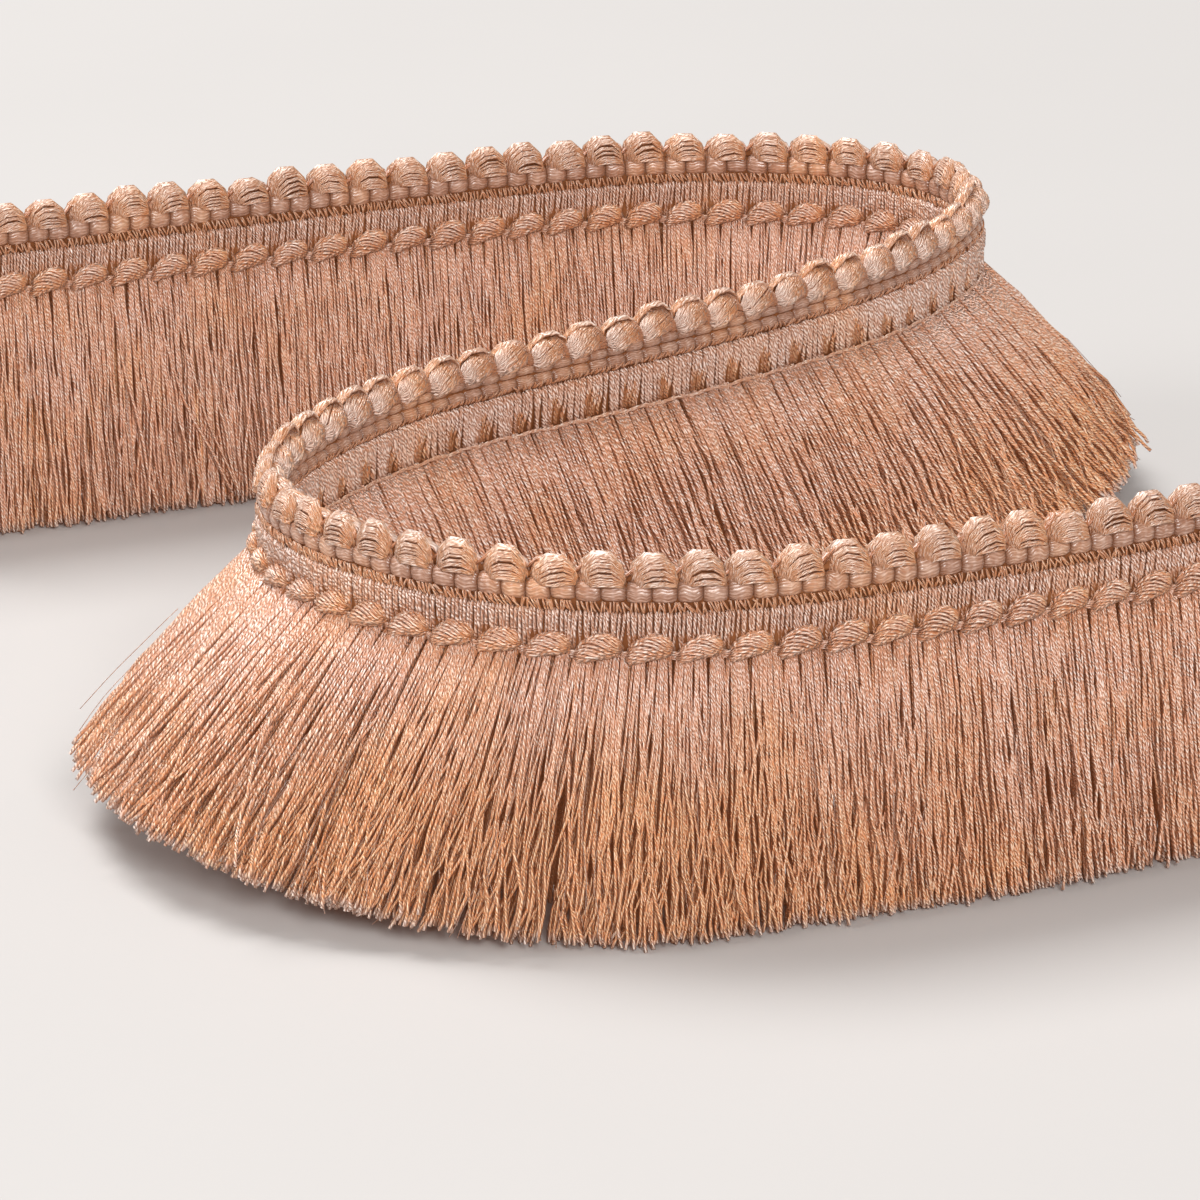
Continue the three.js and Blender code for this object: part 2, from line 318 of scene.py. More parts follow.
def yarn_material(
    name,
    pale=PALE,
    mid=ROSE,
    deep=SHADE_BROWN,
    pitch=0.95,
    plies=2.0,
    ply_shade=0.55,
    filament=0.5,
    relief=0.2,
    side_shade=0.0,
    glint=2.6,
    shine=1.0,
):
    """Satin yarn: plies that wind round the strand, one more of them every pitch along it, with fine
    filaments in them. It turns warmer in patches of its own colour, and with painted orange shade, for
    light bounced deep in the yarns, where the strands are marked with it. gap is how dark the painted
    shade is between the plies, filament how streaky, and relief the plies' depth in millimetres.
    flank is how far painted shade darkens its sides, away from the direction that its first side faces.
    deep is the colour of the painted shade, and glint how strong the painted highlights on the plies are."""
    material = bpy.data.materials.new(name)
    n = Nodes(material)
    uv = n.new("ShaderNodeUVMap")
    uv.uv_map = "strand"
    split = n.new("ShaderNodeSeparateXYZ", Vector=uv.outputs["UV"])
    around, along = split.outputs["X"], split.outputs["Y"]
    tone, shade, warm = n.attribute("tone"), n.attribute("shade"), n.attribute("warm")

    # the plies, which wind a little unevenly, and differently on each strand
    wind = n.math("ADD", n.math("MULTIPLY", around, plies), n.math("DIVIDE", along, pitch))
    wind = n.math("ADD", wind, n.math("MULTIPLY", tone, 7.0))
    seed = n.math("MULTIPLY", tone, 91.0)
    loose = n.noise(n.at(seed, n.math("MULTIPLY", along, 0.45), 3.0))
    wind = n.math("ADD", wind, n.math("MULTIPLY", loose, 2.2))
    ply = n.math("ABSOLUTE", n.math("SINE", n.math("MULTIPLY", wind, math.pi)))

    # filaments along the plies, slow changes along the strand, and patches over the whole trim
    across, lengthwise = n.math("MULTIPLY", wind, 2.6), n.math("MULTIPLY", along, 0.7)
    fine = n.noise(n.at(across, lengthwise, seed), detail=1.0)
    slow = n.noise(n.at(seed, n.math("MULTIPLY", along, 0.16), 0.0))
    patch = n.noise(n.new("ShaderNodeTexCoord").outputs["Object"], 55.0, 1.0)

    # from the middle colour to the pale one
    streak = n.math("MULTIPLY", n.math("SUBTRACT", fine, 0.5), 3.4)
    lift = n.math("ADD", n.math("MULTIPLY", tone, 0.7), n.math("MULTIPLY", streak, filament))
    lift = n.math("ADD", lift, n.math("MULTIPLY", slow, 0.5))
    lift = n.math("SUBTRACT", lift, 0.15, clamp=True)
    colour = n.mix(lift, rgba(mid), rgba(pale))

    # warmer in patches of the yarn's own colour, and with painted orange shade, for light bounced deep in
    # the yarns, where the strand is marked with it
    patches = n.math("MULTIPLY", n.math("SUBTRACT", patch, 0.42), 1.6)
    patch_colour_and_orange_shade = n.math("ADD", n.math("MAXIMUM", patches, 0.0), warm, clamp=True)
    colour = n.mix(patch_colour_and_orange_shade, colour, n.mix(lift, rgba(ORANGE), rgba(AMBER)))

    # painted shade towards the deep colour where shade is under 1, painted highlight towards the glint
    # colour where it is over 1
    unshaded = n.math("MINIMUM", shade, 1.0)
    colour = n.mix(unshaded, rgba(deep), colour)
    painted_highlight = n.math("MAXIMUM", n.math("SUBTRACT", shade, 1.0), 0.0)
    colour = n.mix(painted_highlight, colour, rgba(GLINT))

    # painted highlights on the plies' crests and painted shade in the grooves between them
    ply_highlight = n.math("MULTIPLY", n.math("SUBTRACT", ply, 0.5), n.math("ADD", streak, 0.25))
    ply_highlight = n.math("MULTIPLY", ply_highlight, n.math("MULTIPLY", unshaded, glint), clamp=True)
    colour = n.mix(ply_highlight, colour, n.mix(patch_colour_and_orange_shade, rgba(GLINT), rgba(WARM_GLINT)))
    groove_shade = n.math("MULTIPLY", n.math("SUBTRACT", 1.0, ply), ply_shade)
    colour = n.mix(groove_shade, colour, rgba(deep))
    # painted shade on the strand's sides, where its neighbours shade it
    if side_shade:
        sideways = n.math("MINIMUM", around, n.math("SUBTRACT", 1.0, around))
        side_shading = n.math("MULTIPLY", n.math("SUBTRACT", sideways, 0.11), 5.0, clamp=True)
        colour = n.mix(n.math("MULTIPLY", side_shading, side_shade), colour, rgba(deep))
    n.put(n.shader.inputs["Base Color"], colour)

    # a faint glow stands for the light that passes through the yarns
    n.shader.inputs["Emission Color"].default_value = rgba(GLOW)
    n.shader.inputs["Emission Strength"].default_value = 1.0
    material.cycles.emission_sampling = "NONE"

    height = n.math("ADD", ply, n.math("MULTIPLY", fine, 0.4))
    bump = n.new("ShaderNodeBump", Height=height, Strength=1.0, Distance=relief * MM)
    n.put(n.shader.inputs["Normal"], bump.outputs["Normal"])
    n.shader.inputs["Roughness"].default_value = 0.32
    n.shader.inputs["Specular IOR Level"].default_value = shine
    n.shader.inputs["Sheen Weight"].default_value = 0.2 * shine
    n.shader.inputs["Sheen Roughness"].default_value = 0.4
    n.shader.inputs["Sheen Tint"].default_value = rgba(SHEEN)
    return material


def floor_material():
    material = bpy.data.materials.new("pale_floor")
    n = Nodes(material)
    noise = n.new("ShaderNodeTexNoise", Scale=60.0, Detail=3.0)
    n.put(n.shader.inputs["Base Color"], n.mix(noise.outputs["Fac"], rgba(FLOOR_DARK), rgba(FLOOR_LIGHT)))
    n.shader.inputs["Roughness"].default_value = 0.75
    n.shader.inputs["Specular IOR Level"].default_value = 0.2
    return material


FRINGE_YARN = yarn_material("fringe_yarn_satin", pitch=1.15, ply_shade=0.8, side_shade=0.75, filament=1.2, glint=3.4)
BAND_YARN = yarn_material(
    "band_yarn_satin", (0.82, 0.58, 0.48), (0.48, 0.22, 0.12), (0.30, 0.10, 0.035),
    pitch=1.1, filament=1.7, ply_shade=0.8, side_shade=0.2,
)
LOOP_YARN = yarn_material(
    "loop_yarn_satin", (0.66, 0.44, 0.31), (0.44, 0.20, 0.09),
    pitch=2.2, filament=1.2, ply_shade=0.5, side_shade=0.55, glint=1.7,
)
KNOT_YARN = yarn_material(
    "knot_yarn_satin", (0.74, 0.49, 0.38), (0.48, 0.21, 0.11),
    pitch=1.6, ply_shade=0.6, filament=1.2, side_shade=0.6,
)
THREAD_YARN = yarn_material(
    "groove_thread_satin", (0.66, 0.38, 0.25), (0.46, 0.19, 0.09),
    pitch=2.0, ply_shade=0.5, filament=1.0, side_shade=0.5,
)
RIB_YARN = yarn_material(
    "rib_filament_satin", (0.52, 0.31, 0.22), (0.30, 0.135, 0.08), (0.15, 0.05, 0.02),
    pitch=400.0, plies=16.0, ply_shade=0.3, filament=0.8, relief=0.08, glint=0.6,
)
# a dark colour of painted shade, for the depths that show between strands and cells
SHADE_FILL_YARN = yarn_material(
    "painted_shade_core", (0.36, 0.14, 0.06), (0.28, 0.10, 0.04), (0.12, 0.04, 0.015),
    pitch=3.0, glint=0.0, shine=0.0,
)


# The fringe

# Locks of yarn: width, how far it differs between the layers, and how far it wavers along the route
LOCK_WIDTH, LOCK_WIDENING = 6.2, 1.6
LOCK_WAVER, LOCK_WAVE = 0.28, 2.1
MOST_LOCKS = 400

# How far the tips spread at random, in millimetres: with their lock, singly, where the fringe is most
# tousled, and as strays
LOCK_ALONG, LOCK_OUT = 0.6, 0.45
TIP_ALONG, TIP_OUT = 1.2, 0.5
TOUSLED_ALONG = 1.9
STRAY_ALONG, STRAY_OUT, STRAY_UP = 5.0, 1.6, 2.5
LEAN_SPREAD = 0.9
TIP_GAP = 0.25

# Where the lower parts of the yarns are tousled: middle and half width along the route, by side
TANGLES = {1: (600.0, 80.0), -1: (335.0, 95.0)}

FRINGE_LAYERS = (
    # inner and outer share of the depth, yarns a millimetre, sides, samples, painted orange shade, stray
    # share
    (0.98, 1.02, 1.5, 3, 13, 0.0, 0.08),
    (0.93, 0.98, 1.4, 3, 10, 0.1, 0.08),
    (0.82, 0.93, 1.2, 3, 8, 0.4, 0.05),
    (0.5, 0.82, 0.9, 3, 6, 0.8, 0.02),
    (0.1, 0.5, 0.6, 3, 5, 1.0, 0.0),
)

# Where the fringe's lower part gets the most painted orange shade: side, middle and half width along the
# route, how much
ORANGE_SHADE_PATCHES = (
    (1, 628.0, 70.0, 1.0),
    (-1, 300.0, 60.0, 0.85),
)


def lock_places(s, width, offset):
    """Places along the route, shifted and warped so that whole widths divide them into uneven locks."""
    return s + offset + LOCK_WAVER * width * np.sin(s * LOCK_WAVE / width + offset)


def pull_together(s, width, offset, share):
    """How far each strand moves along the route towards the middle of its lock, as an array like s."""
    place = lock_places(s, width, offset)
    middle = (np.floor(place / width) + 0.5) * width
    return (middle - place) * share


def per_lock(s, width, offset, rng):
    """One random value for each lock, spread over its strands."""
    number = (lock_places(s, width, offset) / width).astype(int)
    return rng.normal(0, 1, MOST_LOCKS)[np.clip(number, 0, MOST_LOCKS - 1)]


def fanning(s, side):
    """How much the tips are spread along the route by its bends, beside 1 where it is straight."""
    front, back, _ = splay_at(s)
    reach = side * YARN_LENGTH * np.sin(np.where(side > 0, front, back))
    bend = np.interp(s, ROUTE_S, np.gradient(ROUTE_HEADING))
    return 1 + bend * reach


def spaced(per_mm, side, rng):
    """Places of yarns along the route, closer where the bends would spread their tips apart."""
    s = np.linspace(0, LENGTH, 1600)
    density = per_mm * (1 + 0.55 * np.clip(fanning(s, side) - 1, 0, 1.2))
    total = np.concatenate([[0], np.cumsum((density[1:] + density[:-1]) / 2 * np.diff(s))])
    order = np.arange(int(total[-1])) + 0.5
    return np.interp(order + rng.uniform(-0.3, 0.3, len(order)), total, s)


def down_yarn(samples):
    """Shares of the yarn's length from its root to its tip, with a short last step for the cut end."""
    return np.append(0.965 * np.linspace(0, 1, samples - 1) ** 0.85, 1.0)


def tangle_at(s, side):
    """How much the lower parts of the yarns are tousled: most on the outside of the two bends."""
    return bell(s, *TANGLES[side])


def wavering(s0, side, t, rng):
    """Three waves along each yarn: a slow one sideways, and a quick one and a crimp, which also go out."""
    count = len(s0)
    turns = rng.uniform(0.7, 2.0, (count, 1)) * t
    wave = 0.35 * np.sin(2 * np.pi * (turns + rng.random((count, 1)))) * t
    ripple = 0.2 * np.sin(2 * np.pi * (2.0 * turns + rng.random((count, 1)))) * smooth(t * 5)
    tousled = (0.25 + 0.75 * tangle_at(s0, side))[:, None] * smooth((t - 0.35) / 0.5)
    crimp = np.sin(2 * np.pi * (3.4 * t * rng.uniform(0.8, 1.2, (count, 1)) + rng.random((count, 1))))
    return wave, ripple + 0.65 * tousled * crimp


def fringe_layer(side, inner, outer, per_mm, samples, rng, stray):
    """Paths of one layer of yarns, from inner to outer as shares of the fringe's depth on one side:
    1 is the front and -1 the back."""
    depth = side * (inner + outer) / 2
    s0 = spaced(per_mm, side, rng)
    count = len(s0)
    layer = side * rng.uniform(inner, outer, count)
    front, back, trail = splay_at(s0)
    lean = np.abs(layer) * np.where(layer > 0, front, back)
    lean = lean + np.radians(rng.normal(0, LEAN_SPREAD, count))
    drop = YARN_LENGTH * np.cos(lean)
    tip = np.where(drop > REST_DROP, 0, ROOT_HEIGHT - drop) + TIP_GAP + rng.gamma(1.6, 0.3, count)
    reach = side * YARN_LENGTH * np.sin(lean)

    # the depth gives each layer locks of its own width and place
    lock = LOCK_WIDTH + LOCK_WIDENING * (depth % 0.37)
    offset = 31.0 * (depth + 1.3)
    along_end = LOCK_ALONG * per_lock(s0, lock, offset, rng)
    out_end = LOCK_OUT * per_lock(s0, lock, offset, rng)
    tangle = tangle_at(s0, side)
    wild = rng.random(count) < stray * (1 + 2.2 * tangle)
    along_end = along_end + (TIP_ALONG + TOUSLED_ALONG * tangle) * rng.normal(0, 1, count)
    along_end = along_end + wild * rng.normal(0, STRAY_ALONG, count)
    out_end = out_end + rng.normal(0, TIP_OUT, count)
    out_end = out_end + wild * side * np.abs(rng.normal(0, STRAY_OUT, count))
    tip = tip + wild * rng.uniform(0, STRAY_UP, count)

    t = down_yarn(samples)[None, :]
    swing = t**1.6
    grip = (0.2 if side > 0 else 0.12) if outer > 0.9 else 0.08
    tied = pull_together(s0, REPEAT / 2, 0.0, grip)[:, None] * bell(t, 0, 0.1)
    locked = pull_together(s0, lock, offset, 0.08)[:, None] * smooth((t - 0.3) / 0.7)
    wave, ripple = wavering(s0, side, t, rng)
    s = s0[:, None] + tied + locked + along_end[:, None] * swing + wave + ripple
    s = s - (trail * YARN_LENGTH)[:, None] * t
    bow = 0.2 * t * (1 - t)
    out = layer[:, None] * ROOT_HALF_DEPTH * (1 + 0.25 * smooth(t * 4))
    out = out + reach[:, None] * (t + bow) + out_end[:, None] * swing + ripple
    root = FRINGE_ROOT - np.where(layer < 0, 1.1 + 0.35 * np.sign(np.sin(2 * np.pi * s0 / REPEAT)), 0)
    z = root[:, None] + (tip[:, None] - root[:, None]) * t
    return s0, beside(s, out, z)


def fringe_colour(s0, side, t, layer_orange_shade, rng):
    """Painted shade, painted highlight and painted orange shade down each yarn: painted shade at the root
    and at the slits between the locks' roots, painted highlight at many of the cut ends, and painted
    orange shade low down, in the patches along the route and through the inner layers."""
    slit = np.abs(pull_together(s0, REPEAT / 2, 0.0, 4 / REPEAT))[:, None] ** 4
    slit_shade = 0.7 if side > 0 else 0.45
    shade = 1 + (t == 1) * rng.uniform(0, 1.6, (len(s0), 1)) - 0.25 * bell(t, 0, 0.06)
    shade = np.maximum(shade - slit_shade * slit * bell(t, 0, 0.1), 0)
    patch = sum(most * bell(s0, middle, width) for face, middle, width, most in ORANGE_SHADE_PATCHES if face == side)
    warm = patch[:, None] * smooth((t - 0.12) / 0.6)[None] + 0.2 * smooth((t - 0.55) / 0.4)
    warm = np.clip(np.maximum(warm, layer_orange_shade), 0, 1) * (1 - 0.7 * (t == 1))
    return shade, warm


def make_fringe():
    rng = np.random.default_rng(7)
    sections = [Strands() for _ in range(SECTIONS)]
    layers = [(side, *layer) for side in (1, -1) for layer in FRINGE_LAYERS]
    for side, inner, outer, per_mm, sides, samples, layer_orange_shade, stray in layers:
        s0, paths = fringe_layer(side, inner, outer, per_mm, samples, rng, stray)
        tone = tones(rng, len(s0), 0.52, 0.27)
        t = down_yarn(samples)
        radius = (YARN_RADIUS + 0.03 * t) * rng.uniform(0.85, 1.1, (len(s0), 1))
        shade, warm = fringe_colour(s0, side, t, layer_orange_shade, rng)
        part = np.minimum((s0 / LENGTH * SECTIONS).astype(int), SECTIONS - 1)
        aim = side * outward(s0)[:, None, :]
        for i, strands in enumerate(sections):
            own = part == i
            strands.add(paths[own], radius[own], sides, tone[own], shade[own], aim[own], warm=warm[own])
    for i, strands in enumerate(sections):
        number = f"{i + 1:02d}"
        strands.build(f"yarns_{number}", FRINGE_YARN, "fringe_yarn", [f"fringe_{number}"])


def make_flyaways():
    """Single thin filaments that stand off the fringe near its tips, most of them at the bends."""
    rng = np.random.default_rng(23)
    count, samples, radius, lowest = 320, 9, 0.09, 0.3
    right_bend, left_bend = (190, 330), (470, 640)
    anywhere = rng.uniform(4, LENGTH - 4, count // 2)
    at_right, at_left = rng.uniform(*right_bend, count // 4), rng.uniform(*left_bend, count // 4)
    s0 = np.concatenate([anywhere, at_right, at_left])
    on_right_bend = (s0 > right_bend[0]) & (s0 < right_bend[1])
    side = np.where(rng.random(count) < np.where(on_right_bend, 0.25, 0.8), 1.0, -1.0)
    front, back, trail = splay_at(s0)
    lean = np.where(side > 0, front, back) * rng.uniform(0.7, 1.04, count) + np.radians(2)
    length = YARN_LENGTH * rng.uniform(0.9, 1.04, count)
    tip = np.maximum(ROOT_HEIGHT - length * np.cos(lean), lowest) + rng.uniform(0, 4, count)
    t = np.linspace(0, 1, samples)[None]
    start = rng.uniform(0.3, 0.7, (count, 1))
    at = start + (1 - start) * t
    curl = rng.normal(0, 4.0, (count, 1)) * t**2
    curl = curl + 0.5 * np.sin(2 * np.pi * (t * 1.5 + rng.random((count, 1)))) * t
    s = s0[:, None] - (trail * length)[:, None] * at + curl
    reach = (length * np.sin(lean))[:, None] * (at + 0.2 * at * (1 - at))
    out = side[:, None] * (2.6 + reach + 1.6 * t**2)
    z = np.maximum(FRINGE_ROOT + (tip[:, None] - FRINGE_ROOT) * at, lowest)
    strands = Strands()
    strands.add(beside(s, out, z), radius, 3, rng.random(count), 0.9, outward(s0)[:, None])
    strands.build("flyaway_filaments", FRINGE_YARN, "fringe_yarn")


# The top edge

LOOP_STRANDS = 22
LOOP_STRAND_RADIUS = 0.4
# Share of the way along a loop, closer together at both ends
LOOP_STEPS = (1 - np.cos(np.pi * np.linspace(0, 1, 8))) / 2
LOOP_RUN = (1 - np.cos(np.pi * LOOP_STEPS)) / 2


def front_loop(middle, share, stray, size, lift):
    """A dome of nested arcs, which rise one beside the other at the left and are drawn to a point at the
    lower right. share goes from 0 to 1 over its strands."""
    u = LOOP_RUN
    rise = np.sin(np.pi * LOOP_STEPS) ** np.where(u < 0.5, 0.7, 0.85)
    face = np.radians(-12 + 104 * share) + stray
    left, right = -4.8 + 3.0 * share, 4.5 - 0.2 * share
    s = middle + left + (right - left) * u
    z = FRONT_LOOP_FOOT + (0.5 + 5.7 * np.maximum(np.cos(face), 0.0) * size + lift) * rise
    swell = np.where(u < 0.5, 0.72 + 0.28 * rise, 0.3 + 0.7 * rise)
    out = 0.1 + 3.0 * np.sin(face) * swell + 0.9 * smooth((u - 0.7) / 0.3)
    # painted shade at both ends, painted highlight a third of the way along, painted orange shade at the
    # lower right
    shade = 0.6 + 0.42 * smooth(np.minimum(u * 6, (1 - u) * 3)) + 0.3 * bell(u, 0.3, 0.18)
    warm = 0.7 * smooth((u - 0.7) / 0.28)
    return s, out, z, face, rise, shade, warm


def back_loop(middle, share, stray, size, lift):
    """A blunt head at the left, seen from behind, from which the strands wind up and over to a narrow
    end behind the next head. The head has a painted highlight, and the narrow end painted shade and
    painted orange shade."""
    u = LOOP_RUN
    blunt = 0.26
    face = np.radians(-16 + 180 * share) + stray - 1.3 * (u - 0.25)
    face = np.maximum(face, np.radians(-14))
    head = np.sqrt(np.maximum(1 - (1 - u / blunt) ** 2, 0))
    body = np.where(u < blunt, head, 1 - 0.55 * ((u - blunt) / (1 - blunt)) ** 2)
    s = middle - (-4.7 + 10.8 * u)
    arch = BACK_LOOP_MIDDLE + 1.5 * smooth(u / 0.6) - 2.2 * smooth((u - 0.6) / 0.3)
    z = arch + lift * body + (0.35 + 2.5 * body * size) * np.cos(face)
    out = -(0.6 + (0.35 + 2.7 * body * size) * np.sin(face) - 1.3 * u**2)
    # painted highlight on the head, painted shade and painted orange shade towards the end behind the next
    # head
    shade = 0.9 + 0.75 * bell(u, 0, 0.24) - 0.9 * smooth((u - 0.46) / 0.3)
    warm = 0.5 * smooth((u - 0.15) / 0.4)
    return s, out, z, face, body, shade, warm


def make_loops():
    """The twisted loops along the top edge, as one piece for each face."""
    rng = np.random.default_rng(11)
    samples = len(LOOP_RUN)
    share = np.linspace(0, 1, LOOP_STRANDS)[None, :, None]
    each = (REPEATS, 1, 1)
    for side, name, shape in ((1, "loops_front", front_loop), (-1, "loops_back", back_loop)):
        size = 1 + 0.08 * np.clip(rng.normal(0, 1, each), -2, 1.2)
        lift = 0.3 * np.clip(rng.normal(0, 1, each), -2, 1)
        middle = (np.arange(REPEATS)[:, None, None] + 0.5) * REPEAT + 0.3 * rng.normal(0, 1, each)
        stray = 0.04 * rng.normal(0, 1, (REPEATS, LOOP_STRANDS, 1))
        stray = stray + 0.25 * rng.normal(0, 1, each) * (LOOP_STEPS - 0.5)
        s, out, z, face, thick, shade, warm = shape(middle, share, stray, size, lift)
        s, shade, warm = (np.broadcast_to(v, face.shape) for v in (s, shade, warm))
        paths = beside(s, out, z).reshape(-1, samples, 3)
        aim = np.cos(face)[..., None] * UP + side * np.sin(face)[..., None] * outward(s)
        tone = tones(rng, len(paths), 0.5, 0.22)
        radius = LOOP_STRAND_RADIUS * (0.6 + 0.4 * thick)
        shade, warm = shade.reshape(-1, samples), warm.reshape(-1, samples)
        strands = Strands()
        strands.add(paths, radius, 3, tone, shade, aim.reshape(-1, samples, 3), warm=warm)
        strands.build(name, LOOP_YARN, "loop_yarn", ["loop_edge"] if side > 0 else [])


def make_loop_core():
    """What the loops are wound round, dark with painted shade: it only shows as depth between their strands.
    """
    steps = 8
    s = np.arange(REPEATS * steps + 1) * REPEAT / steps
    share = np.abs(((s / REPEAT) % 1) - 0.5) * 2
    bulge = 0.25 + 0.75 * (1 - share**1.2)
    strands = Strands()
    paths = beside(s, 0.0, 68.2 + 2.0 * bulge)[None]
    strands.add(paths, 2.1 * bulge[None], 8, 0.4, 0.4, outward(s)[None], flat=1.1)
    strands.build("loop_core", SHADE_FILL_YARN, "loop_yarn")


# The braid

# Rows of cells: side, lowest and highest point, distance out from the route, half thickness
RIB_ROWS = (
    (1, RIB_BOTTOM, RIB_TOP, 1.25, 1.55),
    (-1, 65.7, 67.9, 1.3, 1.2),
    (-1, 62.9, 65.8, 1.3, 1.3),
)
# Slanting threads under them: side, highest point, fall, distance out, threads in each repeat
THREAD_ROWS = (
    (1, RIB_BOTTOM + 0.5, 2.6, 2.2, 15),
    (-1, 64.2, 1.3, 2.45, 9),
)
# What fills the heading, dark with painted shade: lowest and highest point, half thickness
HEADING_CORE = ((61.5, 68.0, 1.55), (52.4, 61.6, 1.9))


def pillows(strands, side, low, high, out, depth, rng):
    """A row of short smooth cells along the route, each a barrel of filaments."""
    width = REPEAT / 2
    count = int(LENGTH / width)
    x = np.array((-1, -0.9, -0.6, 0, 0.6, 0.9, 1))
    barrel = 0.5 + 0.5 * (1 - np.abs(x) ** 4.0) ** 0.4
    middle = (np.arange(count)[:, None] + 0.5) * width
    z = (low + high) / 2 + 0.08 * rng.normal(0, 1, (count, 1))
    s = middle + x * width / 2
    radius = depth * barrel * (1 + 0.06 * rng.normal(0, 1, (count, 1)))
    tone = tones(rng, count, 0.5, 0.15)
    # painted shade in the creases at the cells' ends, and a slight painted highlight along their middles
    shade = 0.05 + 1.05 * (1 - np.abs(x) ** 2.4)
    flat = (high - low) / 2 / depth
    strands.add(beside(s, side * out, z), radius, 8, tone, shade, side * outward(s), flat)


def make_braid():
    """Ribs on the front face, two rows of flatter cells on the back, and the slanting threads and the
    groove under the ribs."""
    rng = np.random.default_rng(13)
    ribs = Strands()
    for side, low, high, out, depth in RIB_ROWS:
        pillows(ribs, side, low, high, out, depth, rng)
    ribs.build("braid_ribs", RIB_YARN, "braid_yarn", ["ribbed_braid"])

    threads = Strands()
    t = np.linspace(0, 1, 4)[None]
    for side, top, fall, surface, per_repeat in THREAD_ROWS:
        count = REPEATS * per_repeat
        s0 = (np.arange(count) + 0.5 + rng.uniform(-0.4, 0.4, count)) * REPEAT / per_repeat
        slant = 0.5 + 0.5 * rng.normal(0, 1, (count, 1))
        s = s0[:, None] + slant * (t - 0.5) * 1.6
        out = surface + 0.3 * np.sin(np.pi * t * 0.8) - 0.6 * t**2 + 0.14 * rng.normal(0, 1, (count, 1))
        z = top - fall * (1 + 0.1 * rng.normal(0, 1, (count, 1))) * t
        tone = tones(rng, count, 0.5, 0.2)
        # painted shade and painted orange shade deeper into the groove under the ribs
        threads.add(beside(s, side * out, z), 0.3, 3, tone, 0.85 - 0.6 * t, outward(s), warm=0.3 + 0.6 * t)
    threads.build("groove_threads", THREAD_YARN, "braid_yarn")

    # the heading's dark fill of painted shade, which shows between the cells
    core = Strands()
    s = np.arange(REPEATS * 2 + 1) * REPEAT / 2
    for low, high, half in HEADING_CORE:
        middle, rise = (low + high) / 2, (high - low) / 2
        paths = beside(s, 0.0, middle)[None]
        core.add(paths, half * math.sqrt(2), 4, 0.4, 0.3, outward(s)[None], rise / half, math.pi / 4)
    core.build("heading_core", SHADE_FILL_YARN, "braid_yarn")


# The band

BAND_YARNS = 13
BAND_RADIUS = 0.48
BAND_SURFACE = 2.5
# How the yarns turn over the band's top edge: heights beside it, distances out from the route
OVER_UP = np.array((-0.9, -0.1, 0.0, -0.35))
OVER_OUT = np.array((1.0, 1.6, 2.15, BAND_SURFACE))
# painted shade where the yarns turn in behind the top edge, painted highlight on top of it
OVER_SHADE = np.array((0.7, 1.1, 1.25, 1.05))
# Shares of the way from there down to the knots
BAND_RUN = np.array((0.22, 0.45, 0.62, 0.8, 1.0))


def front_band(place, lower):
    """The yarns dip under the leaf of the knot and part at the slit to its right. place is the distance
    from the middle of the repeat. Returns how far they are drawn along the route and sunk in, the painted
    shade (a shadow under the leaf, shade in the slit, a slight highlight elsewhere), and painted orange
    shade."""
    slit = bell(np.abs(place), 4.76, 0.55)
    behind_leaf = 1 - smooth((np.abs(place + 0.5) - 3.4) / 0.8)
    drawn = -0.5 * np.sign(place) * slit * lower
    sink = 0.15 + 0.75 * behind_leaf * smooth((BAND_RUN - 0.42) / 0.15) + 0.5 * slit * lower
    # painted shadow under the leaf, and painted shade in the slit
    shade = 1.08 - 0.75 * behind_leaf * smooth((BAND_RUN - 0.42) / 0.2)
    shade = shade - 0.8 * slit * smooth((BAND_RUN - 0.4) / 0.3)
    return drawn, sink, shade, np.broadcast_to(0.35 * lower, shade.shape)


def back_band(place, lower, rng):
    """The yarns part at a slit in each repeat and fan out sunken beside it, with painted shade in the slit,
    painted shade and painted orange shade in the fan, and a painted highlight above it. Returns what
    front_band does."""
    past = 0.8 - place
    fan = smooth(past / 0.4) * smooth((5.0 - past) / 2.2)
    edge = 0.3 + 0.07 * past + 0.07 * rng.normal(0, 1, place.shape)
    below_edge = smooth((BAND_RUN[None] - edge) / 0.16)
    slit = bell(past, -0.2, 0.6) * lower
    drawn = fan * past * 0.35 * lower
    sink = 0.7 * fan * below_edge + 0.6 * slit
    # painted highlight above the fans, painted shade in the fans and in the slit
    shade = 1.24 - 1.04 * fan * below_edge - 1.1 * slit
    return drawn, sink, shade, fan * below_edge


